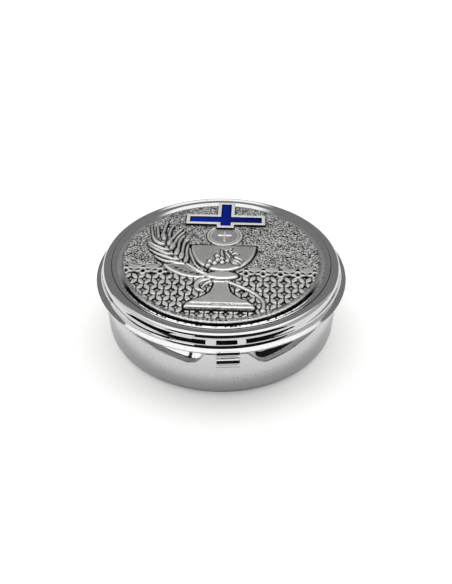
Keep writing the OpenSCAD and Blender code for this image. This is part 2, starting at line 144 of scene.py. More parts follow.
# Rows of a scoop, as radius and height above its ledge: the ledge, its hollow, the leaning wall and the upright
# top. They are turned level with the shoulder, and then sunk where a scoop is.
recess = [(27.85, 0), (27.68, 0.04), (27.48, 0.08), (27.27, 0.12), (27.14, 0.16), (27.06, 0.2), (26.99, 0.25),
          (26.92, 0.33), (26.84, 0.47), (26.72, 0.76), (26.57, 1.11), (26.42, 1.46), (26.32, 1.7), (26.26, 1.89),
          (26.22, 2.19), (26.2, 2.69), (26.19, 3.59)]
section = [(0, 0), (6, 0), (12, 0), (18, 0), (23, 0)] + arc((25.07, foot_round), foot_round, -90, -3.6, 14)
section += [(wall_r(z), z) for z in np.linspace(wall_low, wall_low + wall_h - 0.1, 22)]
section += arc((wall_r(bowl_h - edge_round) - edge_round, bowl_h - edge_round), edge_round, 0, 90, 6)
section += [(r, bowl_h) for r, _ in recess]
section += [(25.9, bowl_h), (25.75, bowl_h), (bore_r, bowl_h - 0.05), (bore_r, 9), (bore_r, 6)]
section += arc((23.05, 3.4), 2.65, 0, -90, 10) + [(18, 0.75), (12, 0.75), (6, 0.75), (0, 0.75)]
bowl = turned("bowl_shell", section, 720)


def scoop_edge(near, corner_r, first):
    """A scoop's lower edge on the wall, seen along its own radius: a steep run, a round and a long gentle run."""
    near_at, low_at, out_at = (mouth_r * math.sin(math.radians(bearing - scoop_mid))
                               for bearing in (near, scoop_low, scoop_out))
    corner = arc((low_at, bowl_h - scoop_drop + corner_r), corner_r, first, corner_end, 24)
    return [(near_at, bowl_h)] + corner + [(out_at, bowl_h)]


x, y, z = places(bowl).T
r = np.hypot(x, y)
turn = np.radians(np.where(x < 0, *scoop_turn))
side, front = x * np.cos(turn) + y * np.sin(turn), x * np.sin(turn) - y * np.cos(turn)
mid = math.radians(scoop_mid)
across = np.abs(side) * math.cos(mid) - front * math.sin(mid)
facing = np.abs(side) * math.sin(mid) + front * math.cos(mid)
left_line, right_line = (np.interp(across, *zip(*edge), left=bowl_h, right=bowl_h)
                         for edge in (scoop_edge(*left_corner), scoop_edge(*right_corner)))
drop = np.where(x < 0, left_share * (bowl_h - left_line), bowl_h - right_line)
drop[(facing < 0) | (z < wall_low - 0.1)] = 0
outside = (r > wall_r(z) - 0.01) & (z < bowl_h - edge_round)
shelf = (r > ledge_r) & ~outside & (z > bowl_h - 1.5 * edge_round)
in_recess = (r > recess[-1][0] - 0.01) & (r < ledge_r) & (z > bowl_h - 0.01)
above = np.interp(r, *zip(*sorted(recess)))
new_z = np.where(outside, wall_low + (z - wall_low) * (1 - drop / wall_h), z)
new_z = np.where(shelf, z - drop, new_z)
new_z = np.where(in_recess, z - np.maximum(0, drop - above), new_z)
draw_in = np.where(outside | (r > ledge_r), (z - new_z) * wall_lean, 0) * (drop > 0)
ledge = (in_recess | shelf) & (drop > 0.05) & (r < mouth_r - 0.25) & (above < 0.2)
share = (r - draw_in) / np.maximum(r, 1e-6)
x, y, z = x * share, y * share, new_z

# The filed flat for the hinge, and the pip behind the thumb tab
y = np.where((np.abs(x) <= hinge_half) & (y > flat_y) & (z >= leaf_low), flat_y, y)
pip_at = np.array([wall_r(pip_z) * math.sin(tab_turn), -wall_r(pip_z) * math.cos(tab_turn), pip_z])
near = np.linalg.norm(np.stack([x, y, z], 1) - pip_at, axis=1)
y = y - pip_proud * np.clip(1 - (near / pip_r) ** 2, 0, 1) * outside
set_places(bowl, np.stack([x, y, z], 1))
unbuffed_and_painted_light = bowl.data.attributes.new("unbuffed_and_painted_light", "FLOAT", "POINT")
# The right ledge's larger share is painted light: it makes that ledge paler and less mirror-like than the left.
unbuffed_and_painted_light.data.foreach_set("value", ledge * np.where(x > 0, right_satin_and_painted_light, left_satin))


def linear(code):
    """Linear colour of an sRGB hex value."""
    parts = [int(code[i:i + 2], 16) / 255 for i in (1, 3, 5)]
    return [p / 12.92 if p <= 0.04045 else ((p + 0.055) / 1.055) ** 2.4 for p in parts] + [1]


def add(tree, kind, settings=None, links=None):
    """Adds a shader node, sets its properties and sockets, and links its inputs. A socket's colour is a hex
    value. A link comes from a socket, or from a node, which stands for its first output in use."""
    node = tree.nodes.new("ShaderNode" + kind)
    for name, value in (settings or {}).items():
        if isinstance(name, str) and hasattr(node, name):
            setattr(node, name, value)
        else:
            node.inputs[name].default_value = linear(value) if isinstance(value, str) else value
    for name, source in (links or {}).items():
        if isinstance(source, bpy.types.Node):
            source = next(socket for socket in source.outputs if socket.enabled)
        tree.links.new(source, node.inputs[name])
    return node


def blank(name):
    """A new material, its emptied node tree, and the place on the piece as Object coordinates."""
    material = bpy.data.materials.new(name)
    material.use_nodes = True
    tree = material.node_tree
    tree.nodes.clear()
    return material, tree, add(tree, "TexCoord").outputs["Object"]


# Nickel plate over polished brass. The buffed plate mirrors the room; handling leaves faint smudges
# some 7 mm across that soften it, and buffing leaves a slow waviness about 12 mm long.
# The buff doesn't reach the ledges of the scoops, which stay satin. The right ledge gets more of that
# pale satin than the left: painted light, so that it reads lighter. Here and there the plate has
# pits about 0.2 mm wide, in patches, and all over it a faint grain of about 0.3 mm.
nickel_plate, tree, where = blank("polished_nickel_plate")
smudge = add(tree, "TexNoise", {"Scale": 1 / (7 * mm), "Detail": 3}, {"Vector": where})
wave = add(tree, "TexNoise", {"Scale": 1 / (12 * mm), "Detail": 0}, {"Vector": where})
rough = add(tree, "MapRange", {"From Min": 0.35, "From Max": 0.75, "To Min": 0.025, "To Max": 0.07},
            {"Value": smudge})
satin = add(tree, "Attribute", {"attribute_name": "unbuffed_and_painted_light"}).outputs["Fac"]
rough = add(tree, "Math", {"operation": "MULTIPLY_ADD", 1: 0.4}, {0: satin, 2: rough})
bare = add(tree, "Math", {"operation": "MULTIPLY_ADD", 1: -0.7, 2: 1.0}, {0: satin})
grit = add(tree, "TexNoise", {"Scale": 1 / (0.3 * mm), "Detail": 2}, {"Vector": where})
tone = add(tree, "Mix", {"data_type": "RGBA", 6: "#DADADB", 7: "#B8B8B9"}, {0: grit})
pits = add(tree, "TexVoronoi", {"Scale": 1 / (1.3 * mm)}, {"Vector": where})
pit_r = add(tree, "MapRange", {"From Min": 0.43, "From Max": 0.6, "To Max": 0.12}, {"Value": smudge})
whole = add(tree, "Math", {"operation": "GREATER_THAN"}, {0: pits, 1: pit_r})
tone = add(tree, "Mix", {"data_type": "RGBA", 6: "#6E6E6E"}, {0: whole, 7: tone})
tone = add(tree, "Mix", {"data_type": "RGBA", 7: "#F4F4F2"}, {0: satin, 6: tone})
buff = add(tree, "Bump", {"Strength": 0.05, "Distance": 0.05 * mm}, {"Height": wave})
plate = add(tree, "BsdfPrincipled", None,
            {"Base Color": tone, "Roughness": rough, "Metallic": bare, "Normal": buff})
add(tree, "OutputMaterial", links={"Surface": plate})

finish(bowl, 50, nickel_plate)
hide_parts("body_bowl")
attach(bowl, "bowl")


# Gilt liner
# A thin brass cup, spun and gilded, that is pressed into the bowl and holds the hosts.
# Its collar stands above the bowl's shoulder, has a rolled edge and guides the lid.
liner_r, liner_in, collar_top = 25.65, 25.15, 15.3
section = [(0, 0.8), (8, 0.8), (16, 0.8)] + arc((23.05, 3.4), 2.6, -90, 0, 10) + [(liner_r, 8), (liner_r, 13)]
section += arc((25.4, collar_top - 0.25), 0.25, 0, 180, 10) + [(liner_in, 13), (liner_in, 8)]
section += arc((23.05, 3.4), 2.1, 0, -90, 10) + [(16, 1.3), (8, 1.3), (0, 1.3)]
liner = turned("gilt_liner", section, 360)

# Gilded brass, spun and left satin. The spinning tool leaves fine rings, drawn 0.6 mm apart here, which is
# coarser than the real ones so that they show, and the gilding is a little redder where it is thin.
gilding, tree, where = blank("satin_gilding")
rings = add(tree, "TexWave", {"wave_type": "RINGS", "rings_direction": "Z", "Scale": 0.31 / (0.6 * mm),
                              "Distortion": 0.4, "Detail": 1}, {"Vector": where})
cloud = add(tree, "TexNoise", {"Scale": 1 / (5 * mm), "Detail": 4}, {"Vector": where})
tone = add(tree, "Mix", {"data_type": "RGBA", 6: "#E5B85B", 7: "#DDAA4D"}, {0: cloud})
rough = add(tree, "MapRange", {"From Min": 0.3, "From Max": 0.7, "To Min": 0.22, "To Max": 0.28},
            {"Value": cloud})
spun = add(tree, "Bump", {"Strength": 0.12, "Distance": 0.02 * mm}, {"Height": rings.outputs["Fac"]})
gilt = add(tree, "BsdfPrincipled", {"Metallic": 1.0}, {"Base Color": tone, "Roughness": rough, "Normal": spun})
add(tree, "OutputMaterial", links={"Surface": gilt})

finish(liner, 50, gilding)
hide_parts("body_liner")
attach(liner, "bowl")


# Hinge leaf of the bowl
# A strip of plated brass soldered to the filed flat, whose two outer ends are rolled into knuckles for the pin.
# The middle of the strip stays flat, so that the lid's knuckle can turn in front of it.
hinge_y, hinge_z, knuckle_r, leaf_t, bend_z = 29.4, 13.375, 1.1, 0.6, 12.0
roll_long, gap_half = 2.6, 1.55


def block(name, corners, way):
    """A flat outline, as corners in millimetres, extruded along a way to a closed block, left in edit mode."""
    piece = loop(name, corners)
    edit()
    bpy.ops.mesh.edge_face_add()
    bpy.ops.mesh.extrude_region_move(TRANSFORM_OT_translate={"value": Vector(way) * mm})
    bpy.ops.mesh.select_mode(type="EDGE")
    bpy.ops.mesh.select_all(action="DESELECT")
    bpy.ops.mesh.select_non_manifold()
    bpy.ops.mesh.edge_face_add()
    bpy.ops.mesh.select_all(action="SELECT")
    bpy.ops.mesh.normals_make_consistent(inside=False)
    return piece


def round_edges(angle, width, segments):
    """Rounds all edges sharper than an angle of the piece in edit mode, and leaves that mode."""
    bpy.ops.mesh.select_mode(type="EDGE")
    bpy.ops.mesh.select_all(action="DESELECT")
    bpy.ops.mesh.edges_select_sharp(sharpness=math.radians(angle))
    bpy.ops.mesh.bevel(offset=width * mm, segments=segments, profile=0.5)
    leave_edit()


def strip(name, left, side, width, bevel, segments=3):
    """A bent strip: its side, as depth and height, drawn out to the right of a place, with rounded edges."""
    piece = block(name, [(left, a, b) for a, b in side], (width, 0, 0))
    round_edges(35, bevel, segments)
    return piece


foot = [(flat_y, leaf_low), (flat_y + leaf_t, leaf_low), (flat_y + leaf_t, bend_z)]
knuckle = foot + arc((flat_y + leaf_t + 0.35, bend_z), 0.35, 180, 105, 4)
knuckle += arc((hinge_y, hinge_z), knuckle_r, -95, 180, 30) + [(flat_y, hinge_z)]
bowl_leaf = strip("bowl_leaf", -hinge_half, knuckle, roll_long, 0.09)
bpy.ops.object.duplicate()
right_roll = bpy.context.object
set_places(right_roll, places(right_roll) + [2 * hinge_half - roll_long, 0, 0])
middle = strip("bowl_leaf_middle", -gap_half, foot + [(flat_y, bend_z + leaf_t)], 2 * gap_half, 0.07)
bowl_leaf.select_set(True)
right_roll.select_set(True)
bpy.context.view_layer.objects.active = bowl_leaf
bpy.ops.object.join()
finish(bowl_leaf, 35, nickel_plate)
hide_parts("body_hinge_leaf")
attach(bowl_leaf, "bowl")


# Hinge pin
# A drawn brass wire through the three knuckles, with both ends peened over to low round heads and plated.
pin_r, head_r, head_h, head_at = 0.55, 0.8, 0.3, 4.14
dome = [(head_at + head_h * s, head_r * r) for r, s in arc((0, 0), 1, 0, 90, 9)]
section = [(-s, r) for s, r in reversed(dome)] + [(-head_at, pin_r), (head_at, pin_r)] + dome
pin = loop("hinge_pin_wire", [(s, hinge_y + r, hinge_z) for s, r in section])
edit()
bpy.ops.mesh.spin(steps=40, angle=math.tau, center=Vector((0, hinge_y, hinge_z)) * mm, axis=(1, 0, 0))
leave_edit()
closed()
finish(pin, 40, nickel_plate)
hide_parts("hinge_pin")
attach(pin, "bowl")


# Lid
# One pressed shell of plated brass: a raised seat for the relief disc, a flat polished ring, a round edge,
# an upright side band and, below a hollow, a thin lip that stands out over the bowl.
# Inside, a turned-in flange rests on the bowl's shoulder. The back is notched for the hinge.
lid_low, ring_z, seat_z, seat_r, corner_w = 13.45, 18.6, 18.75, 26.1, 0.2
notch_half, notch_steps = 4.29, ((16.36, 29.15), (14.76, 28.1))
section = [(r, seat_z) for r in (0, 8, 16, 22, 25, seat_r)]
section += [(r, ring_z) for r in (seat_r + corner_w, 26.45, 26.6, 26.9, 27.15)]
section += arc((27.28, 17.5), 1.1, 90, 20, 22)[:-1] + arc((26.058, 17.055), 2.4, 20, 4, 10)
section += rows((28.4525, 17.2228), (28.503, 16.276), 5)
section += arc((29.65, 16.356), 1.15, 184, 250, 17)
section += rows((29.257, 15.275), (29.901, 15.041), 5) + arc((29.85, 14.9), 0.15, 70, -90, 12)
section += rows((29.85, 14.75), (28.35, lid_low), 6) + [(r, lid_low) for r in (28.35, 27.5, 26.7, 26.05)]
section += [(26.0, 13.5), (26.0, 14.1), (26.05, 14.15), (27.3, 14.15), (27.4, 14.2), (27.4, 16)]
section += [(27.4, 17.7), (27.3, 17.8), (18, 17.8), (9, 17.8), (0, 17.8)]
lid = turned("lid_shell", section, 720)
bpy.ops.object.mode_set(mode="EDIT")
for side in (-1, 1):
    for at in (notch_half - 0.01, notch_half + 0.01):
        bpy.ops.mesh.select_all(action="SELECT")
        bpy.ops.mesh.bisect(plane_co=(side * at * mm, 0, 0), plane_no=(1, 0, 0))
leave_edit()
x, y, z = places(lid).T
for step_z, step_y in notch_steps:
    y = np.where((np.abs(x) < notch_half) & (z < step_z), np.minimum(y, step_y), y)
set_places(lid, np.stack([x, y, z], 1))

# Painted shade: a dull black line in the corner round the seat, where the disc stands; it is blotchy about every
# 0.6 mm.
painted_corner_shade, tree, where = blank("painted_shade_in_the_corner")
blotches = add(tree, "TexNoise", {"Scale": 1 / (0.6 * mm), "Detail": 3}, {"Vector": where})
tone = add(tree, "Mix", {"data_type": "RGBA", 6: "#0A0A0A", 7: "#3A3A39"}, {0: blotches})
rough = add(tree, "MapRange", {"To Min": 0.5, "To Max": 0.8}, {"Value": blotches})
dull = add(tree, "BsdfPrincipled", {"Specular IOR Level": 0.1}, {"Base Color": tone, "Roughness": rough})
add(tree, "OutputMaterial", links={"Surface": dull})

finish(lid, 40, nickel_plate, painted_corner_shade)
# The faces in the corner round the seat take the painted shade.
for f in lid.data.polygons:
    in_corner = seat_r < f.center.xy.length / mm < seat_r + corner_w and ring_z < f.center.z / mm < seat_z
    f.material_index = int(in_corner)
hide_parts("lid_rim")
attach(lid, "lid")


# Gilt pan of the lid
# A shallow spun tray of gilded brass that lines the lid. It stands on the lid's flange, and its rim is rolled.
pan_r, pan_in, pan_low, pan_top, pan_under = 27.35, 26.95, 14.15, 17.8, 17.4
section = [(0, pan_top), (9, pan_top), (18, pan_top)] + arc((pan_r - 0.6, pan_top - 0.6), 0.6, 90, 0, 8)
section += [(pan_r, 16)] + arc((27.15, pan_low + 0.2), 0.2, 0, -180, 8) + [(pan_in, 16)]
section += arc((pan_in - 0.4, pan_under - 0.4), 0.4, 0, 90, 8) + [(18, pan_under), (9, pan_under), (0, pan_under)]
pan = turned("gilt_pan", section, 300)
finish(pan, 50, gilding)
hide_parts("lid_pan")
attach(pan, "lid")


# Hinge leaf of the lid
# A short plated strap let into the lid's back and soldered there, with its foot rolled into the middle knuckle.
strap_y, strap_top, strap_half = 27.925, 17.1, 1.3
roll = arc((hinge_y, hinge_z), knuckle_r, -180, 95, 30) + arc((28.875, 14.8), 0.35, -75, -180, 4)
roll += [(strap_y + leaf_t, strap_top), (strap_y, strap_top), (strap_y, 13.6), (28.3, 13.6)]
lid_leaf = strip("lid_leaf", -strap_half, roll, 2 * strap_half, 0.08)
finish(lid_leaf, 35, nickel_plate)
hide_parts("lid_hinge_leaf")
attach(lid_leaf, "lid")


# Thumb tab
# A bent strip of plated brass soldered to the lip's edge, a little to the right of the middle.
# Its top rolls over the edge, its neck draws in, and its foot swells to a round rest for the thumb.
tab_back, tab_low, tab_half = 28.77, 11.05, 2.6
tab_side = [(tab_back, 14.2), (tab_back, tab_low)] + arc((29.68, 12.41), 1.25, -75, 68, 30)
tab_side += [(30.1, 13.66), (30.12, 13.76), (30.18, 13.86)] + arc((29.4, 14.47), 1.0, -32, 72, 24)
tab_side += [(29.5, 15.2), (29.3, 14.8), (29.1, 14.5)]
tab = strip("thumb_tab_strip", -tab_half, [(-r, z) for r, z in tab_side], 2 * tab_half, 0.12, 4)
x, y, z = places(tab).T
c, s = math.cos(tab_turn), math.sin(tab_turn)
set_places(tab, np.stack([x * c - y * s, x * s + y * c, z], 1))
finish(tab, 30, nickel_plate)
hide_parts("thumb_tab")
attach(tab, "lid")


# Relief disc
# A thin casting of white metal, blackened and then rubbed bright on its high places, soldered to the lid's seat.
# A chalice with grapes, a host and an ear of wheat lies on a stippled ground; a lace edge and a lattice
# of petals cover the altar cloth below. It was set a little turned and a little towards the front.
disc_r, disc_foot, ground_z, disc_cells = 24.0, 24.5, 19.35, 304
edge_w, edge_fall, edge_drop, solder_r, solder_h = 0.24, 0.85, 0.473, 24.7, 0.09
shoulder_w, shoulder_y, solder_y = 0.7, -5, -3
arm_half, bar_half, cross_foot, bar_at, cross_head = 2.15, 9.95, 11.7, 15.4, 23.4
disc_turn, disc_forward, figure_right = math.radians(-4.7), 1.0, 0.45
disc = start("relief_casting", bpy.ops.mesh.primitive_grid_add,
             x_subdivisions=disc_cells, y_subdivisions=disc_cells, size=2 * mm)
a, b, _ = places(disc).T
wide = np.abs(a) >= np.abs(b)
long_side, short_side = np.where(wide, a, b), np.where(wide, b, a)
bearing = math.pi / 4 * short_side / np.where(long_side == 0, 1, long_side)
bearing = np.where(wide, bearing, math.pi / 2 - bearing)
disc_x, disc_y = disc_r * long_side * np.cos(bearing), disc_r * long_side * np.sin(bearing)
from_edge = disc_r * (1 - np.abs(long_side))
u, v = disc_x - figure_right, disc_y - disc_forward


def rounded(depth, edge):
    """Share of the full height at a depth inside an outline, over a round edge of that width."""
    t = np.clip(depth / edge, 0, 1)
    return np.sqrt(t * (2 - t))


def in_ellipse(at, half, turn=0):
    """Depth inside an ellipse, in millimetres."""
    c, s = math.cos(math.radians(turn)), math.sin(math.radians(turn))
    p, q = (u - at[0]) * c + (v - at[1]) * s, (v - at[1]) * c - (u - at[0]) * s
    k0 = np.hypot(p / half[0], q / half[1])
    k1 = np.hypot(p / half[0] ** 2, q / half[1] ** 2)
    return np.where(k0 < 1e-6, min(half), k0 * (1 - k0) / np.maximum(k1, 1e-9))


def bent(points, parts=7):
    """Points of a smooth line through the given ones."""
    at = np.array(points, float)
    at = np.vstack([2 * at[0] - at[1], at, 2 * at[-1] - at[-2]])
    line = []
    for p0, p1, p2, p3 in zip(at, at[1:], at[2:], at[3:]):
        for t in np.linspace(0, 1, parts, endpoint=False):
            line.append(0.5 * (2 * p1 + (p2 - p0) * t + (2 * p0 - 5 * p1 + 4 * p2 - p3) * t ** 2
                               + (3 * p1 - p0 - 3 * p2 + p3) * t ** 3))
    return np.array(line + [at[-2]])


def beside_run(p, q):
    """Share of the way along a straight run, and the distance from it, at each place."""
    d = q - p
    t = np.clip(((u - p[0]) * d[0] + (v - p[1]) * d[1]) / max(d @ d, 1e-9), 0, 1)
    return t, np.hypot(u - p[0] - t * d[0], v - p[1] - t * d[1])


def in_stroke(points, widths):
    """Depth inside a smooth stroke whose width changes along it."""
    line = bent(points)
    half = np.interp(np.linspace(0, 1, len(line)), np.linspace(0, 1, len(widths)), widths) / 2
    depth = np.full(u.shape, -9.0)
    for p, q, wp, wq in zip(line, line[1:], half, half[1:]):
        t, away = beside_run(p, q)
        depth = np.maximum(depth, wp + (wq - wp) * t - away)
    return depth


def in_outline(points):
    """Depth inside a closed outline with straight sides."""
    depth, inside = np.full(u.shape, 99.0), np.zeros(u.shape, bool)
    for p, q in zip(np.array(points), np.roll(points, -1, axis=0)):
        depth = np.minimum(depth, beside_run(p, q)[1])
        crosses = (p[1] > v) != (q[1] > v)
        inside ^= crosses & (u < p[0] + (v - p[1]) * (q[0] - p[0]) / (q[1] - p[1] or 1e-9))
    return np.where(inside, depth, -depth)


figures = np.full(u.shape, -9.0)
figure_tone = np.zeros(u.shape)
moat = np.zeros(u.shape)


def emboss(depth, height, edge, gutter=0.12, tone=0.22, spread=0.28, rubbed_and_highlight_width=0.4):
    """Raises a figure over a round edge, and cuts a narrow gutter into the ground beside it.
    The tone is the black that stays on it, apart from its edge, worn bright; where that edge is widened, its
    white is a painted highlight."""
    level = np.where(depth > 0, height * rounded(depth, edge), -9)
    figure_tone[:] = np.where(level > figures, tone * np.clip(depth / rubbed_and_highlight_width - 0.3, 0, 1), figure_tone)
    figures[:] = np.maximum(figures, level)
    moat[:] = np.maximum(moat, np.where(depth <= 0, gutter * np.exp(-(depth / spread) ** 2), 0))


# Ground: stippled above, plain along the lace of the cloth
cloth_v, lattice_v, plain_r = -4.65, -7.8, 23.3
grain = np.array([noise.noise((p / 0.31, q / 0.44, 0.3)) + 0.7 * noise.noise((p / 0.2, q / 0.3, 7.1))
                  for p, q in zip(u, v)])
ground = 0.02 + 0.13 * grain
cloth = np.clip((cloth_v - v) / 0.15, 0, 1)
ground_tone = np.clip(0.58 - 1.15 * grain, 0, 1) * (1 - cloth) + 0.2 * cloth
ground = ground * (1 - cloth) + 0.06 * cloth

# Lace edge: a row of rings with dots and slots above them, little bars between, and a dark row below
lace_v, lace_pitch, lace_low, lace_top, ring_in = -6.55, 4.03, -1.4, 2.3, 0.6
k = (u - 1.6) / lace_pitch
ring_u = (k - np.round(k)) * lace_pitch
over = v - lace_v
to_ring = np.hypot(ring_u / 0.86, over / 1.34)
collar = np.minimum(1 - to_ring, to_ring - ring_in)
beside = np.abs(ring_u)
dot = np.hypot(ring_u / 0.48, (over - 1.85) / 0.56) < 1
slot_u, slot_v = beside - 1.2, over - 0.6
slot = np.hypot((slot_u * 0.78 - slot_v * 0.63) / 0.68, (slot_u * 0.63 + slot_v * 0.78) / 0.38) < 1
notch = np.hypot((beside - lace_pitch / 2) / 0.6, (over + 0.62) / 0.5) < 1
under = (over < -0.5) & (over > lace_low)
bar = (np.abs(over + 0.15) < 0.22) & (beside < 1.55)
for part, level, tone in (((over > lace_low) & (over < lace_top), 0.1, 0.3),
                          (under | dot | slot | notch, -0.22, 1), (bar, 0.16, 0),
                          (collar > 0, 0.24 * rounded(collar, 0.2), 0), (to_ring <= ring_in, -0.3, 1)):
    ground, ground_tone = np.where(part, level, ground), np.where(part, tone, ground_tone)

# Lattice: a petal on the slant in each cell between the star-shaped gaps, a slit between neighbours and
# a small point in each gap
cell_u, cell_v, petal_r, petal_half = 1.61, 2.015, 1.766, 0.53
s, t = (u - 1.58) / cell_u, (v + 9.66) / cell_v
even = (np.floor(s) + np.floor(t)) % 2 == 0
p, q = (s - np.floor(s) - 0.5) * cell_u, (t - np.floor(t) - 0.5) * cell_v
p = np.where(even, -p, p)
slant = math.hypot(cell_u, cell_v)
along, aside = (p * cell_u + q * cell_v) / slant, (q * cell_u - p * cell_v) / slant
m, n = np.round(s), np.round(t)
petal = np.minimum(petal_r - np.hypot(along, np.abs(aside) + petal_r - petal_half), np.abs(s - m) * cell_u - 0.13)
star = np.where((m + n) % 2 == 0, 1 - np.abs(s - m) * cell_u / 0.62 - np.abs(t - n) * cell_v / 0.6, 0)
lattice = np.where(petal > 0, 0.22 * rounded(petal, 0.17) - 0.07 * np.clip((petal - 0.12) / 0.3, 0, 1),
                   -0.14 + 0.2 * np.clip(star, 0, 1))
petal_tone = np.where(petal > 0.03, 0.18 * np.clip((petal - 0.1) / 0.2, 0, 1),
                      1 - 0.4 * np.clip(2.5 * star, 0, 1))
plain = (np.hypot(u + figure_right, v) > plain_r) & (v < 2)
for part, level, tone in ((v < lattice_v, lattice, petal_tone), (plain, 0.1 + 0.03 * grain, 0.66 - 0.5 * grain)):
    ground, ground_tone = np.where(part, level, ground), np.where(part, tone, ground_tone)

# Chalice: cup, knop, collar, flared stem and foot
cup_v, cup_half, cup_deep = 4.4, 7.75, 10.3
cup = np.minimum(in_ellipse((0, cup_v), (cup_half, cup_deep)), cup_v - v)
cup_dome = 1 - (u / cup_half) ** 2 - ((v - cup_v) / cup_deep) ** 2
# The cup's and the knop's bright edge is wider along their lower side: a painted highlight there.
emboss(cup, 0.3 + 0.14 * np.clip(cup_dome, 0, 1), 0.75, 0.34, 0.52, 0.5, np.interp(v, [-5.5, -2.5], [0.9, 0.4]))
emboss(in_ellipse((0.1, -7.7), (3.75, 1.6)), 0.42, 1.1, 0.34, 0.36, 0.45, np.interp(v, [-8.6, -7.2], [0.8, 0.3]))
emboss(in_stroke([(-1.9, -10.0), (0, -10.1), (1.9, -10.0)], [0.55, 0.55]), 0.3, 0.25, 0.2)
stem_half = np.interp(-v, [10.2, 12, 14, 15.3, 16.3, 17.2, 18.3], [1.55, 1.75, 2.3, 3.4, 4.7, 6.3, 7.3])
stem = np.minimum.reduce([(stem_half - np.abs(u)) * np.interp(-v, [13, 16], [1, 0.62]), -10.4 - v, v + 18.3])
emboss(stem, 0.3, 0.4, 0.3, 0.42, 0.4)
emboss(in_stroke([(-7.4, -18.5), (0, -18.6), (7.4, -18.5)], [0.34, 0.34]), 0.3, 0.17, 0.2, 0)
emboss(in_stroke([(-7.4, -19.45), (0, -19.5), (7.4, -19.45)], [1.15, 1.15]), 0.45, 0.6, 0.3, 0, 0.4)
# Painted shadow under the foot: a strip sunk 0.3 mm and blackened.
moat = np.maximum(moat, 0.3 * np.clip((8.0 - np.abs(u)) / 0.3, 0, 1) * np.clip((-19.9 - v) / 0.2, 0, 1)
                  * np.clip((v + 21.1) / 0.3, 0, 1))

# Host over the cup, with a double edge and a plain cross
host_v, host_r = 8.9, 4.4
host = np.minimum(host_r - np.hypot(u, v - host_v), v - cup_v - 0.1)
emboss(host, 0.1, 0.2, 0.2, 0.55)
moat[:] = np.maximum(moat, 0.08 * np.exp(-((np.abs(u) - 4.5) / 0.6) ** 2 - ((v - 5.4) / 0.9) ** 2))
emboss(np.minimum(host, 0.5 - host), 0.24, 0.22, 0, 0)
emboss(np.minimum(host - 0.85, 1.1 - host), 0.18, 0.12, 0, 0)
for points in ([(0, 6.6), (0, 8.4), (0, 10.6)], [(-1.5, 9.0), (0, 9.0), (1.5, 9.0)]):
    emboss(in_stroke(points, [0.6, 0.6]), 0.26, 0.25)

# Grapes and vine leaves on the cup, with the black left close around them


def set_off(depth):
    """Sinks and blackens the figure round a smaller one that stands on it."""
    near = np.where(depth <= 0.1, np.exp(-(depth / 0.34) ** 2), 0)
    figure_tone[:] = np.maximum(figure_tone, np.clip(1.6 * near - 0.2, 0, 1))
    figures[:] = np.where(figures > -1, figures - 0.14 * near, figures)


grape_r = 0.64
for at in [(-3.4, -4.0), (-1.9, -3.0), (-0.1, -2.6), (1.2, -1.9),
           (-3.0, -2.3), (-1.2, -1.7), (-0.2, -0.9), (-1.4, -0.1)]:
    grape = grape_r - np.hypot(u - at[0], (v - at[1]) * 0.9)
    set_off(grape)
    emboss(grape, 0.7, grape_r, 0, 0)
for points, widths in [
        ([(-0.4, 2.3), (-0.3, 0.8), (0.1, -0.6)], [0.5, 0.75, 0.3]),
        ([(0.3, 2.1), (0.9, 0.7), (1.7, -0.6)], [0.4, 0.7, 0.3]),
        ([(0.5, 2.0), (1.2, 2.5), (2.0, 2.8)], [0.6, 0.7, 0.3]),
        ([(1.5, 1.9), (2.2, 1.2), (2.4, 0.2)], [0.5, 0.8, 0.3]),
        ([(2.3, 0.5), (2.9, 0.9), (3.6, 0.7)], [0.5, 0.9, 0.3]),
        ([(2.2, -1.1), (3.2, -0.8), (4.7, -1.8)], [0.6, 0.9, 0.25]),
        ([(2.0, -2.0), (2.7, -3.0), (3.9, -3.6)], [0.5, 0.8, 0.25]),
        ([(2.4, -1.7), (3.4, -2.2), (4.3, -2.9)], [0.4, 0.7, 0.25]),
        ([(0.9, -1.2), (1.8, -1.5), (2.4, -1.2)], [0.3, 0.4, 0.3])]:
    leaf = in_stroke(points, widths)
    set_off(leaf)
    emboss(leaf, 0.6, 0.3, 0, 0)

# Ear of wheat: the stalk, awns bent to the left, and grains whose awns bend over to the right


def cut(dark):
    """Cuts a groove where the depth is positive and blackens it: painted shadow beside the ear's strands and
    grains.
    """
    moat[:] = np.maximum(moat, np.where(dark > 0, 0.3, 0))


def strand(points, widths, groove):
    """A raised stroke with a black groove along one side of it, as its painted shadow."""
    cut(in_stroke([(p + groove[0], q + groove[1]) for p, q in points], widths))
    emboss(in_stroke(points, widths), 0.34, 0.4, 0.2, 0.25, 0.3)


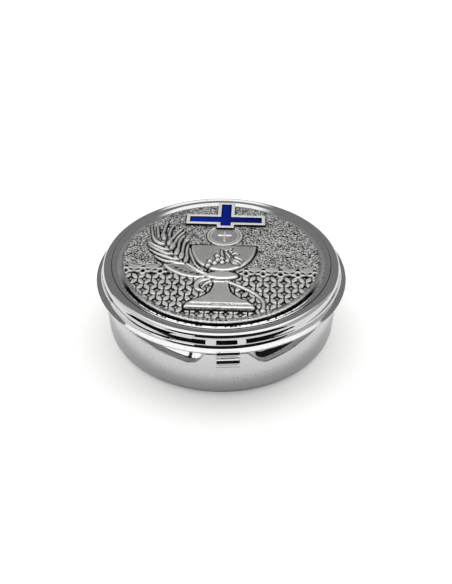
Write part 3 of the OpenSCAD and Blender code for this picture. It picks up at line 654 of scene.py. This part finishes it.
strand([(-3.7, -7.2), (-5.6, -5.9), (-7.3, -4.4), (-8.5, -3.4)], [0.8, 0.7, 0.6, 0.4], (-0.4, -0.7))
strand([(-4.6, -5.8), (-6.3, -3.6), (-7.3, -0.9), (-7.9, 1.2), (-8.2, 3.0)],
       [0.4, 0.45, 0.5, 0.4, 0.3], (0.45, 0))
cut(in_stroke([(-8.9, -3.0), (-10.6, -0.4), (-12.2, 1.7), (-13.4, 3.7), (-14.4, 5.4)], [0.5, 0.5]))
for points in ([(-9.3, -3.4), (-10.5, -3.2), (-11.8, -2.8), (-13.0, -2.6), (-14.2, -2.1), (-15.4, -1.3),
                (-16.3, -0.4)],
               [(-10.7, -1.7), (-11.9, -1.5), (-13.1, -0.9), (-14.4, -0.3), (-15.7, 0.4), (-16.8, 1.3),
                (-17.8, 2.2)],
               [(-12.3, 0.4), (-13.3, 0.5), (-14.4, 1.1), (-15.7, 2.0), (-17.2, 3.1), (-18.4, 4.4)],
               [(-13.4, 2.2), (-14.5, 2.5), (-15.8, 3.3), (-17.1, 4.2), (-18.2, 5.2), (-18.7, 6.0)],
               [(-14.7, 4.5), (-15.8, 5.0), (-17.0, 6.3), (-17.7, 8.0), (-18.0, 9.6), (-18.4, 12.0)]):
    strand(points, [0.75, 0.9, 0.7, 0.5, 0.3], (0.05, -0.9))
for at, long, wide, turn in [((-15.05, 7.85), 1.65, 0.6, 103), ((-13.4, 5.4), 1.35, 0.5, 79),
                             ((-12.5, 3.75), 1.5, 0.56, 78), ((-11.25, 1.55), 1.5, 0.56, 80),
                             ((-10.0, 0.0), 1.45, 0.54, 86), ((-8.75, -1.45), 1.4, 0.5, 83)]:
    # Each grain has a black groove below and to its right: painted shadow.
    cut(in_ellipse((at[0] + 0.4, at[1] - 0.45), (long, wide), turn))
    emboss(in_ellipse(at, (long, wide), turn), 0.46, 0.45, 0.2, 0.25, 0.3)
for points in ([(-16.3, 7.9), (-16.6, 9.7), (-16.9, 12.2)],
               [(-15.3, 9.3), (-15.1, 11.1), (-15.0, 12.6), (-14.6, 14.0)],
               [(-13.7, 8.4), (-13.7, 9.8), (-13.5, 11.2), (-13.1, 12.4)],
               [(-13.2, 6.3), (-12.7, 7.5), (-12.2, 8.8), (-11.4, 10.3), (-10.8, 11.2)],
               [(-12.2, 5.0), (-11.9, 6.2), (-11.5, 7.6), (-10.8, 9.1), (-10.2, 9.9)],
               [(-11.0, 2.7), (-11.0, 4.5), (-10.9, 6.1), (-10.5, 7.5), (-10.0, 8.3)],
               [(-9.9, 1.2), (-9.9, 2.9), (-9.8, 4.5), (-9.5, 5.8), (-9.0, 6.2)],
               [(-8.7, -0.2), (-8.85, 1.4), (-8.85, 3.0), (-8.7, 4.3)]):
    strand(points, [0.5, 0.52, 0.5, 0.42], (0.5, -0.25))

# Ribbon: a bordered lobe with pricked dots under the ear, a curl beside the stem and a tail to the right
lobe_edge = bent([(-13.7, -3.8), (-12.8, -5.5), (-11.0, -7.0), (-9.0, -8.1), (-6.5, -8.8), (-4.3, -8.7),
                  (-3.6, -7.6)], 4)
lobe = in_outline(np.vstack([lobe_edge, [(-5.6, -6.3), (-7.8, -4.7), (-9.4, -3.0)]]))
emboss(lobe, 0.14, 0.3, 0.12, 0.6)
emboss(in_stroke([(-13.6, -4.0), (-12.5, -5.3), (-10.8, -6.6), (-8.9, -7.7), (-6.5, -8.35), (-4.5, -8.3),
                  (-3.8, -7.5)], [0.7, 0.85, 0.8, 0.6]), 0.32, 0.4, 0.2)
for at in [(-10.8, -5.0), (-9.6, -5.9), (-8.5, -6.5), (-7.0, -6.6), (-5.6, -7.1)]:
    pricked = np.hypot((u - at[0]) / 0.42, (v - at[1]) / 0.4) < 1
    figures[:], figure_tone[:] = np.where(pricked, -0.1, figures), np.where(pricked, 1, figure_tone)
emboss(in_stroke([(-3.0, -9.2), (-4.7, -9.7), (-5.6, -11.2), (-5.4, -12.8), (-4.0, -13.8)],
                 [1.0, 1.25, 1.2, 1.0, 0.6]), 0.34, 0.4, 0.2)
emboss(in_stroke([(-2.4, -10.0), (-3.6, -10.9), (-4.3, -12.4)], [0.5, 0.7, 0.3]), 0.28, 0.3, 0.2)
emboss(in_stroke([(2.0, -10.3), (5.5, -12.4), (8.4, -14.9), (9.8, -17.5), (9.7, -20.2)],
                 [0.85, 0.8, 0.75, 0.75, 0.8]), 0.34, 0.36, 0.2)
emboss(0.62 - np.hypot(u - 9.7, v + 20.3), 0.4, 0.5, 0.2)

# Everything together: the cross's place is left flat, and the disc's edge falls away in a round. Below that
# edge, the foot widens a little, and solder has run out round it.
relief = np.where(figures > -1, figures, ground - moat)
arm_w = arm_half - 0.05
cross_place = np.maximum(np.minimum.reduce([arm_w - np.abs(u), v - cross_foot - 0.05, cross_head - v]),
                         np.minimum(bar_half - 0.05 - np.abs(u), arm_w - np.abs(v - bar_at)))
relief = np.where(cross_place > 0, 0, relief)
fall = np.clip(edge_fall - from_edge, 0, edge_fall)
relief = relief * np.clip((from_edge - 0.4) / 0.6, 0, 1) - (1 - np.sqrt(1 - fall ** 2))
c, s = math.cos(disc_turn), math.sin(disc_turn)
lid_x, lid_y = disc_x * c - (disc_y - disc_forward) * s, disc_x * s + (disc_y - disc_forward) * c
set_places(disc, np.stack([lid_x, lid_y, ground_z + relief], 1))

# Black left by the rubbing: in the gutters and hollows, by how far a place lies under its surroundings
count = disc_cells + 1
level = relief.reshape(count, count)
around = level
for _ in range(3):
    for axis in (0, 1):
        padded = np.pad(around, [(2, 2) if i == axis else (0, 0) for i in (0, 1)], mode="edge")
        around = sum(np.take(padded, range(i, i + count), axis=axis) for i in range(5)) / 5
black_left_and_painted_shade = np.clip((around - level) / 0.12 - 0.1, 0, 1).ravel()
black_left_and_painted_shade = np.where(figures > -1, np.maximum(0.45 * black_left_and_painted_shade, figure_tone * (1 - 0.22 * grain)),
                  np.maximum(ground_tone, np.clip(moat / 0.08 - 0.3, 0, 1)))
# Painted shadow: a black band on the disc round the cross, about 0.6 mm wide, fading outwards.
black_left_and_painted_shade = np.maximum(black_left_and_painted_shade, np.where(cross_place < 0, np.clip(1.3 + cross_place / 0.45, 0, 1), 0))
# The disc's rounded edge is half black all round, deepening to full black towards the front, where it is painted
# shade.
black_left_and_painted_shade = np.clip(np.where(from_edge < edge_w, 0.5 + np.clip((-7 - v) / 12, 0, 0.5), black_left_and_painted_shade), 0, 1)
patina_and_painted_shade = disc.data.attributes.new("patina_and_painted_shade", "FLOAT", "POINT")
patina_and_painted_shade.data.foreach_set("value", black_left_and_painted_shade)
edit("DESELECT")
bpy.ops.mesh.select_mode(type="EDGE")
bpy.ops.mesh.select_non_manifold()
disc_centre = Vector((disc_forward * s, -disc_forward * c, 0)) * mm
edge_h = ground_z - edge_drop - seat_z - solder_h
for down, spread in ((edge_h, disc_foot / disc_r), (solder_h, solder_r / disc_foot)):
    bpy.ops.mesh.extrude_region_move(TRANSFORM_OT_translate={"value": (0, 0, -down * mm)})
    bpy.ops.transform.resize(value=(spread, spread, 1), center_override=disc_centre)
bpy.ops.mesh.edge_face_add()
leave_edit()
for f in disc.data.polygons:
    out = (f.center - disc_centre).xy.length / mm
    shoulder = f.center.y < shoulder_y * mm and disc_r - shoulder_w < out < disc_r - edge_w
    fillet = f.center.y < solder_y * mm and out > disc_foot + 0.02
    f.material_index = 2 if fillet else int(shoulder)

# White metal, cast, blackened all over and rubbed back. The high places are bright and a little rough from the
# mould, about 0.3 mm, and the black that stays in the hollows is dull. The same black also carries painted shade
# and shadow: on the disc's edge, round the cross, under the chalice's foot and beside the wheat.
cast_metal, tree, where = blank("blackened_cast_white_metal")
dark = add(tree, "Attribute", {"attribute_name": "patina_and_painted_shade"}).outputs["Fac"]
skin = add(tree, "TexNoise", {"Scale": 1 / (0.3 * mm), "Detail": 3}, {"Vector": where})
cloud = add(tree, "TexNoise", {"Scale": 1 / (4 * mm), "Detail": 2}, {"Vector": where})
uneven = add(tree, "Math", {"operation": "MULTIPLY_ADD", 1: 0.2, 2: -0.1}, {0: cloud})
share = add(tree, "Math", {"operation": "ADD", "use_clamp": True}, {0: dark, 1: uneven})
tone = add(tree, "Mix", {"data_type": "RGBA", 6: "#F4F4F2", 7: "#060606"}, {0: share})
rough = add(tree, "MapRange", {"To Min": 0.3, "To Max": 0.6}, {"Value": share})
metal = add(tree, "MapRange", {"To Min": 0.78, "To Max": 1.0}, {"Value": share})
sand = add(tree, "Bump", {"Strength": 0.25, "Distance": 0.03 * mm}, {"Height": skin})
cast = add(tree, "BsdfPrincipled", {"Specular IOR Level": 0.3},
           {"Base Color": tone, "Roughness": rough, "Metallic": metal, "Normal": sand})
add(tree, "OutputMaterial", links={"Surface": cast})

# The plain shoulder below the cloth was turned and left as it came: pale metal, pitted about every 0.35 mm.
turned_edge, tree, where = blank("turned_white_metal")
marks = add(tree, "TexNoise", {"Scale": 1 / (0.35 * mm), "Detail": 2}, {"Vector": where})
rough = add(tree, "MapRange", {"To Min": 0.15, "To Max": 0.4}, {"Value": marks})
tone = add(tree, "Mix", {"data_type": "RGBA", 6: "#FAFAF8", 7: "#5A5A59"}, {0: marks})
uneven = add(tree, "Bump", {"Strength": 0.6, "Distance": 0.05 * mm}, {"Height": marks})
edge = add(tree, "BsdfPrincipled", {"Metallic": 1.0}, {"Base Color": tone, "Roughness": rough, "Normal": uneven})
add(tree, "OutputMaterial", links={"Surface": edge})

# Soft solder that ran out under the disc's front edge: bright and lumpy, with lumps of about 0.7 mm
# and black between them.
solder, tree, where = blank("bright_soft_solder")
lumps = add(tree, "TexNoise", {"Scale": 1 / (0.7 * mm), "Detail": 3}, {"Vector": where})
rough = add(tree, "MapRange", {"To Min": 0.08, "To Max": 0.3}, {"Value": lumps})
run = add(tree, "Bump", {"Strength": 0.5, "Distance": 0.08 * mm}, {"Height": lumps})
between = add(tree, "MapRange", {"From Min": 0.5, "From Max": 0.62}, {"Value": lumps})
tone = add(tree, "Mix", {"data_type": "RGBA", 6: "#F4F4F2", 7: "#1C1C1C"}, {0: between})
tin = add(tree, "BsdfPrincipled", {"Metallic": 1.0}, {"Base Color": tone, "Roughness": rough, "Normal": run})
add(tree, "OutputMaterial", links={"Surface": tin})

finish(disc, 70, cast_metal, turned_edge, solder)
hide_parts("relief_disc")
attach(disc, "lid")


# Cross frame
# A small cross stamped from nickel silver with a raised edge, soldered on the relief disc over the host.
# Its edge is softened by polishing, and its floor is covered by the enamel.
frame_w, frame_deep, cross_top = 0.9, 0.5, 20.0


def cross_corners(inset, z):
    """Corners of the cross drawn in by an amount, set on the disc as it was turned."""
    w, h = arm_half - inset, bar_half - inset
    low, high = cross_foot + inset, cross_head - inset
    corners = [(-w, low), (w, low), (w, bar_at - w), (h, bar_at - w), (h, bar_at + w), (w, bar_at + w), (w, high),
               (-w, high), (-w, bar_at + w), (-h, bar_at + w), (-h, bar_at - w), (-w, bar_at - w)]
    return [((p + figure_right) * c - q * s, (p + figure_right) * s + q * c, z) for p, q in corners]


def raised_cross(name, inset, low, high):
    """The cross as a closed block between two levels, left in edit mode with its top selected."""
    piece = block(name, cross_corners(inset, low), (0, 0, high - low))
    bpy.ops.mesh.select_mode(type="FACE")
    bpy.ops.mesh.select_all(action="DESELECT")
    leave_edit()
    max(piece.data.polygons, key=lambda f: f.normal.z).select = True
    bpy.ops.object.mode_set(mode="EDIT")
    return piece


cross = raised_cross("cross_setting", 0, ground_z - 0.05, cross_top)
bpy.ops.mesh.inset(thickness=frame_w * mm)
bpy.ops.mesh.extrude_region_move(TRANSFORM_OT_translate={"value": (0, 0, -frame_deep * mm)})
round_edges(30, 0.16, 4)

# Nickel silver, stamped and polished by hand: bright and a little uneven, with faint marks about 1.5 mm long.
nickel_silver, tree, where = blank("polished_nickel_silver")
marks = add(tree, "TexNoise", {"Scale": 1 / (1.5 * mm), "Detail": 4}, {"Vector": where})
rough = add(tree, "MapRange", {"From Min": 0.3, "From Max": 0.7, "To Min": 0.34, "To Max": 0.48},
            {"Value": marks})
tone = add(tree, "Mix", {"data_type": "RGBA", 6: "#F6F6F4", 7: "#E6E6E5"}, {0: marks})
hand = add(tree, "Bump", {"Strength": 0.3, "Distance": 0.05 * mm}, {"Height": marks})
silver = add(tree, "BsdfPrincipled", {"Metallic": 0.7}, {"Base Color": tone, "Roughness": rough, "Normal": hand})
add(tree, "OutputMaterial", links={"Surface": silver})

# Painted shade: the upright sides of the cross get a dull black copy of its metal, with clouds about 0.8 mm wide.
black_and_painted_shade, tree, where = blank("nickel_silver_painted_shade")
cloud = add(tree, "TexNoise", {"Scale": 1 / (0.8 * mm), "Detail": 3}, {"Vector": where})
tone = add(tree, "Mix", {"data_type": "RGBA", 6: "#0A0A0A", 7: "#2C2C2C"}, {0: cloud})
shaded_sides = add(tree, "BsdfPrincipled", {"Metallic": 0.5, "Roughness": 0.5}, {"Base Color": tone})
add(tree, "OutputMaterial", links={"Surface": shaded_sides})

finish(cross, 40, nickel_silver, black_and_painted_shade)
# Upright faces take the painted shade.
for f in cross.data.polygons:
    f.material_index = int(abs(f.normal.z) < 0.3)
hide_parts("cross_frame")
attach(cross, "lid")


# Enamel of the cross
# Deep blue enamel poured into the frame and set with a glossy skin, a little lower than the frame's edge.
# It creeps up the frame all round, and the pool looks darker along that edge.
enamel_z, creep = 19.85, 0.1
enamel = raised_cross("cross_pool", frame_w, ground_z + 0.1, enamel_z + creep)
for width, sink in ((0.08, 0.045), (0.1, 0.03), (0.12, 0.017), (0.14, 0.008), (0.1, 0.0)):
    bpy.ops.mesh.inset(thickness=width * mm, depth=-sink * mm)
leave_edit()
x, y, z = places(enamel).T

# The enamel's own places on the disc, for its depth inside the frame
u, v = x * c + y * s - figure_right, y * c - x * s
inner = [(p * c + q * s - figure_right, q * c - p * s) for p, q, _ in cross_corners(frame_w, 0)]
pool = enamel.data.attributes.new("pool", "FLOAT", "POINT")
pool.data.foreach_set("value", np.clip(in_outline(inner) / 0.55, 0, 1))

# Transparent enamel over a blackened floor: deepest blue in the middle, near black where the frame shades it,
# a shade greener to the left, with slow clouds about 4 mm wide and a glassy skin.
blue_enamel, tree, where = blank("poured_blue_enamel")
apart = add(tree, "SeparateXYZ", None, {"Vector": where})
sideways = add(tree, "MapRange", {"From Min": -9 * mm, "From Max": 10 * mm}, {"Value": apart.outputs["X"]})
lengthwise = add(tree, "Mix", {"data_type": "RGBA", 6: "#002AAE", 7: "#00085A"}, {0: sideways})
cloud = add(tree, "TexNoise", {"Scale": 1 / (4 * mm), "Detail": 2}, {"Vector": where})
clouded = add(tree, "Mix", {"data_type": "RGBA", "blend_type": "MULTIPLY", 7: "#B4B4C8"},
              {0: cloud, 6: lengthwise})
depth = add(tree, "Attribute", {"attribute_name": "pool"}).outputs["Fac"]
shaded = add(tree, "Mix", {"data_type": "RGBA", 6: "#02030F"}, {0: depth, 7: clouded})
glass = add(tree, "BsdfPrincipled", {"Roughness": 0.2, "Specular IOR Level": 0.015}, {"Base Color": shaded})
add(tree, "OutputMaterial", links={"Surface": glass})

finish(enamel, 50, blue_enamel)
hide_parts("cross_enamel")
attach(enamel, "lid")


# Studio
# A pale table, a soft light overhead, a white card behind and a dark screen in front, as for small metalwork.
# The cards show only in reflections; the camera sees the table and a white background.
room_grey, soft_glow, soft_z, soft_wide, soft_deep = 0.27, 1.6, 0.6, 1.4, 0.78
table = start("table", bpy.ops.mesh.primitive_circle_add, vertices=128, radius=1.5, fill_type="NGON")
paper, tree, where = blank("pale_table_paper")
ray = add(tree, "LightPath").outputs
reach = add(tree, "VectorMath", {"operation": "LENGTH"}, {0: where})
# Painted shadow: as the metal sees it, the table's glow fades out between 34.5 and 30.5 mm from the box's middle,
# standing in for the box's shadow.
clear = add(tree, "MapRange", {"interpolation_type": "SMOOTHSTEP", "From Min": 30.5 * mm, "From Max": 34.5 * mm,
                               "To Max": 0.33}, {"Value": reach})
mirrored = add(tree, "Math", {"operation": "MULTIPLY"}, {0: ray["Is Glossy Ray"], 1: clear})
lift = add(tree, "Math", {"operation": "MULTIPLY_ADD", 1: 0.3}, {0: ray["Is Camera Ray"], 2: mirrored})
matt = add(tree, "BsdfDiffuse", {"Color": "#F2F2F0"})
glow = add(tree, "Emission", None, {"Strength": lift})
both = add(tree, "AddShader", None, {0: matt, 1: glow})
add(tree, "OutputMaterial", links={"Surface": both})
table.data.materials.append(paper)

softbox = start("softbox", bpy.ops.object.light_add, type="AREA", location=(0, 0.2, soft_z))
softbox.data.shape = "RECTANGLE"
softbox.data.size, softbox.data.size_y = soft_wide, soft_deep
softbox.data.energy = soft_glow * math.pi * soft_wide * soft_deep
softbox.visible_camera = softbox.visible_glossy = False

# What the metal shows of the soft light: a glowing sheet that dims towards its ends
sheet = start("softbox_sheet", bpy.ops.mesh.primitive_plane_add, size=1, location=(0, 0, soft_z))
sheet.scale = (1.5, 0.607, 1)
bpy.ops.object.transform_apply()
silk, tree, where = blank("softbox_silk")
apart = add(tree, "SeparateXYZ", None, {"Vector": where})
away = add(tree, "Math", {"operation": "ABSOLUTE"}, {0: apart.outputs["X"]})
dim = add(tree, "MapRange", {"interpolation_type": "SMOOTHSTEP", "From Min": 0.25, "From Max": 0.7,
                             "To Min": soft_glow, "To Max": room_grey}, {"Value": away})
glow = add(tree, "Emission", None, {"Strength": dim})
add(tree, "OutputMaterial", links={"Surface": glow})
sheet.data.materials.append(silk)
sheet.visible_camera = sheet.visible_diffuse = sheet.visible_shadow = False


def card(name, radius, low, high, first, last, shade, glow, fade=0):
    """A curved card round the box, between two bearings from the front, for reflections only.
    Its glow can fall off to the room's over a share of its half width at both ends."""
    piece = start(name, bpy.ops.mesh.primitive_plane_add, size=0.1)
    at = math.radians(first)
    for vertex, up in zip(piece.data.vertices, (0, 0, 1, 1)):
        vertex.co = (radius[up] * math.sin(at), -radius[up] * math.cos(at), (low, high)[up])
    edit()
    bpy.ops.mesh.remove_doubles(threshold=1e-6)
    bpy.ops.mesh.spin(steps=24, angle=math.radians(first - last), center=(0, 0, 0), axis=(0, 0, 1))
    leave_edit()
    surface, tree, where = blank(name + "_paper")
    strength = {}
    if fade:
        apart = add(tree, "SeparateXYZ", None, {"Vector": where})
        ends = [radius[0] * math.sin(math.radians(bearing)) for bearing in (first, last)]
        middle, half = sum(ends) / 2, abs(ends[1] - ends[0]) / 2
        away = add(tree, "Math", {"operation": "SUBTRACT", 1: middle}, {0: apart.outputs["X"]})
        away = add(tree, "Math", {"operation": "ABSOLUTE"}, {0: away})
        soft = add(tree, "MapRange", {"interpolation_type": "SMOOTHSTEP", "From Min": half * (1 - fade),
                                      "From Max": half, "To Min": glow, "To Max": room_grey}, {"Value": away})
        strength["Strength"] = soft
    matt = add(tree, "Emission", {"Color": shade, "Strength": glow}, strength)
    add(tree, "OutputMaterial", links={"Surface": matt})
    piece.data.materials.append(surface)
    piece.visible_camera = piece.visible_diffuse = piece.visible_shadow = False


card("back_card", (0.6, 0.6), 0.265, 0.43, 172.7, 184.3, "#FFFFFF", 1.5, 0.3)
card("front_screen", (0.5, 0.5), 0.0, 1.07, -52, 54, "#202020", 1.0)
card("left_card", (0.5, 0.5), 0.0, 0.5, -110, -52, "#FFFFFF", 1.0)
card("right_card", (0.5, 0.5), 0.0, 0.5, 54, 110, "#FFFFFF", 0.6)
card("left_strip", (0.45, 0.45), 0.02, 0.16, -60, -24, "#FFFFFF", 1.6)

# Dark mats on the table, which the bowl's wall mirrors
near_edge, mat_z = 0.05, 0.0005
for name, far_edge, first, last in (("left_mat", 0.3, -75, -38), ("left_mat_step", 0.058, -38, -22),
                                    ("left_mat_end", 0.066, -22, -12.3), ("middle_mat", 0.066, -5.4, 8.6),
                                    ("right_mat", 0.066, 14.3, 50)):
    card(name, (near_edge, far_edge), mat_z, mat_z, first, last, "#101010", 1.0)

world = bpy.data.worlds.new("studio")
bpy.context.scene.world = world
world.use_nodes = True
tree = world.node_tree
tree.nodes.clear()
ray = add(tree, "LightPath").outputs
room = add(tree, "Background", {"Color": (1, 1, 1, 1), "Strength": room_grey})
white = add(tree, "Background", {"Color": (1, 1, 1, 1), "Strength": 1.0})
either = add(tree, "MixShader", None, {0: ray["Is Camera Ray"], 1: room, 2: white})
add(tree, "OutputWorld", links={"Surface": either})


# Camera
# Set at the photograph's viewing angle: a little left of the box's own front and looking down on it.
camera_data = bpy.data.cameras.new("camera")
camera = bpy.data.objects.new("camera", camera_data)
bpy.context.scene.collection.objects.link(camera)
turn, tilt, away = math.radians(-2.0), math.radians(35.74), 0.2179
look, image_h, focal_px = Vector((0, 0, 0.01787)), 584, 906.7
level = math.cos(tilt)
camera.location = look + away * Vector((math.sin(turn) * level, -math.cos(turn) * level, math.sin(tilt)))
camera.rotation_euler = (math.pi / 2 - tilt, 0, turn)
camera_data.lens = focal_px * camera_data.sensor_width / image_h
camera_data.shift_x, camera_data.shift_y = 4.77 / image_h, -30.36 / image_h
camera_data.clip_start = 0.01
bpy.context.scene.camera = camera

bpy.context.scene.view_settings.view_transform = "Standard"
bpy.context.view_layer.update()
